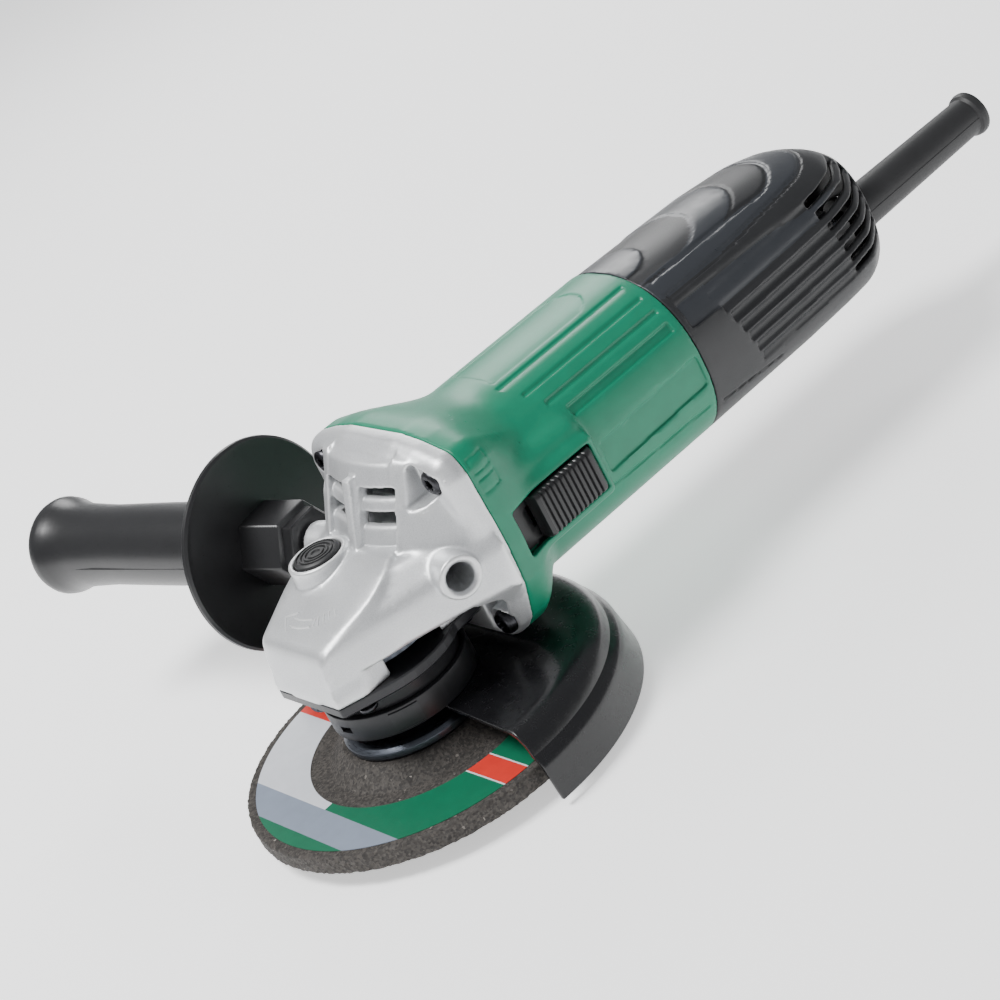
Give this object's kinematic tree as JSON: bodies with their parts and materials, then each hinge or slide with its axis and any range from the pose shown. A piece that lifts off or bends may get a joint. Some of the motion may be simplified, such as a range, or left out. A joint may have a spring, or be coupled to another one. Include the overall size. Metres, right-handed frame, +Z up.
{
  "type": "angle grinder",
  "caption": "Corded angle grinder with a cast gear case, green motor housing, dark tail cover, wheel guard, depressed-centre wheel and a screw-in side handle.",
  "frame": {"origin": "free end of the wheel spindle, on its axis", "axes": "+Z up the spindle, +X back along the motor axis, +Y towards the side handle"},
  "size_m": [0.3324, 0.226, 0.0925],
  "materials": {
    "cast_alloy": "satin, fine cast grain",
    "green_housing": "satin",
    "charcoal_cover": "satin",
    "black_plastic": "satin",
    "black_steel": "semi-gloss paint",
    "dark_steel": "blackened",
    "bright_steel": "ground",
    "bearing_steel": "polished",
    "laminations": "stacked sheets",
    "copper": "enamelled wire",
    "brass": "plain",
    "bronze": "sintered",
    "carbon": "matt",
    "rubber": "matt",
    "abrasive": "coarse grain",
    "wheel_label": "printed",
    "film_capacitor": "moulded",
    "wire_sheath": "plain"
  },
  "bodies": {
    "grinder": {"gear_case": "cast_alloy", "case_screws": "black_steel", "bearing_cover": "black_steel", "cover_screws": "black_steel", "spindle_bearing_outer": "bearing_steel", "spindle_bearing_balls": "bearing_steel", "spindle_bush": "bronze", "dust_seal": "rubber", "motor_housing": "green_housing", "fan_baffle": "black_plastic", "front_bearing_outer": "bearing_steel", "front_bearing_balls": "bearing_steel", "bearing_retainer": "bright_steel", "retainer_screws": "dark_steel", "stator_core": "laminations", "stator_coils": "copper", "stator_screws": "dark_steel", "rear_bearing_outer": "bearing_steel", "rear_bearing_balls": "bearing_steel", "rear_bearing_sleeve": "rubber", "brush_holders": "brass", "carbon_brushes": "carbon", "brush_springs": "bright_steel", "tail_cover": "charcoal_cover", "tail_screw": "dark_steel", "switch_body": "black_plastic", "capacitor": "film_capacitor", "cord_clamp": "black_plastic", "clamp_screws": "dark_steel", "cord_guard": "rubber", "motor_leads": "wire_sheath", "lock_spring": "bright_steel"},
    "spindle": {"spindle": "bright_steel", "ring_gear": "dark_steel", "gear_clip": "dark_steel", "spindle_bearing_inner": "bearing_steel", "wheel_washer": "dark_steel", "grinding_wheel": "abrasive", "wheel_label": "wheel_label", "wheel_bore_ring": "bright_steel", "wheel_nut": "dark_steel"},
    "armature": {"rotor_shaft": "bright_steel", "armature_core": "laminations", "armature_windings": "copper", "commutator": "copper", "fan": "black_plastic", "pinion": "dark_steel", "pinion_nut": "dark_steel", "front_bearing_inner": "bearing_steel", "rear_bearing_inner": "bearing_steel"},
    "guard": {"guard_shell": "black_steel", "guard_collar": "black_steel", "guard_screw": "dark_steel"},
    "spindle_lock": {"lock_button": "rubber", "lock_pin": "bright_steel"},
    "switch_bar": {"switch_bar": "black_plastic"},
    "switch_knob": {"switch_knob": "black_plastic"},
    "handle_bolt": {"handle_bolt": "bright_steel"},
    "handle_grip": {"handle_grip": "black_plastic"}
  },
  "joints": [
    {"name": "spindle_spin", "type": "hinge", "parent": "grinder", "child": "spindle", "pos_m": [0, 0, 0], "axis": [0, 0, 1], "continuous": true},
    {"name": "armature_spin", "type": "hinge", "parent": "grinder", "child": "armature", "pos_m": [0, 0, 0.057], "axis": [1, 0, 0], "continuous": true},
    {"name": "guard_turn", "type": "hinge", "parent": "grinder", "child": "guard", "pos_m": [0, 0, 0], "axis": [0, 0, 1], "range_deg": [-75, 100]},
    {"name": "lock_press", "type": "slide", "parent": "grinder", "child": "spindle_lock", "axis": [0, 0, -1], "range_m": [0, 0.0032], "stiffness_N_per_m": 1200, "springref_m": -0.002, "deforming": ["lock_spring"]},
    {"name": "switch_slide", "type": "slide", "parent": "grinder", "child": "switch_bar", "axis": [-1, 0, 0], "range_m": [0, 0.007], "stiffness_N_per_m": 400, "springref_m": -0.003},
    {"name": "switch_lock_rock", "type": "hinge", "parent": "switch_bar", "child": "switch_knob", "pos_m": [0.0582, -0.0285, 0.056], "axis": [0, 0, 1], "range_deg": [-2, 0]},
    {"name": "handle_travel", "type": "slide", "parent": "grinder", "child": "handle_bolt", "axis": [-0.225, 0.9744, 0], "range_m": [0, 0.0125]},
    {"name": "handle_turn", "type": "hinge", "parent": "handle_bolt", "child": "handle_grip", "pos_m": [0.0152, 0.0368, 0.0586], "axis": [-0.225, 0.9744, 0], "range_deg": [0, 3601]}
  ],
  "couplings": [
    {"joint": "armature_spin", "follows": "spindle_spin", "ratio": 3.7},
    {"joint": "handle_turn", "follows": "handle_travel", "rad_per_m": 5026.5}
  ]
}
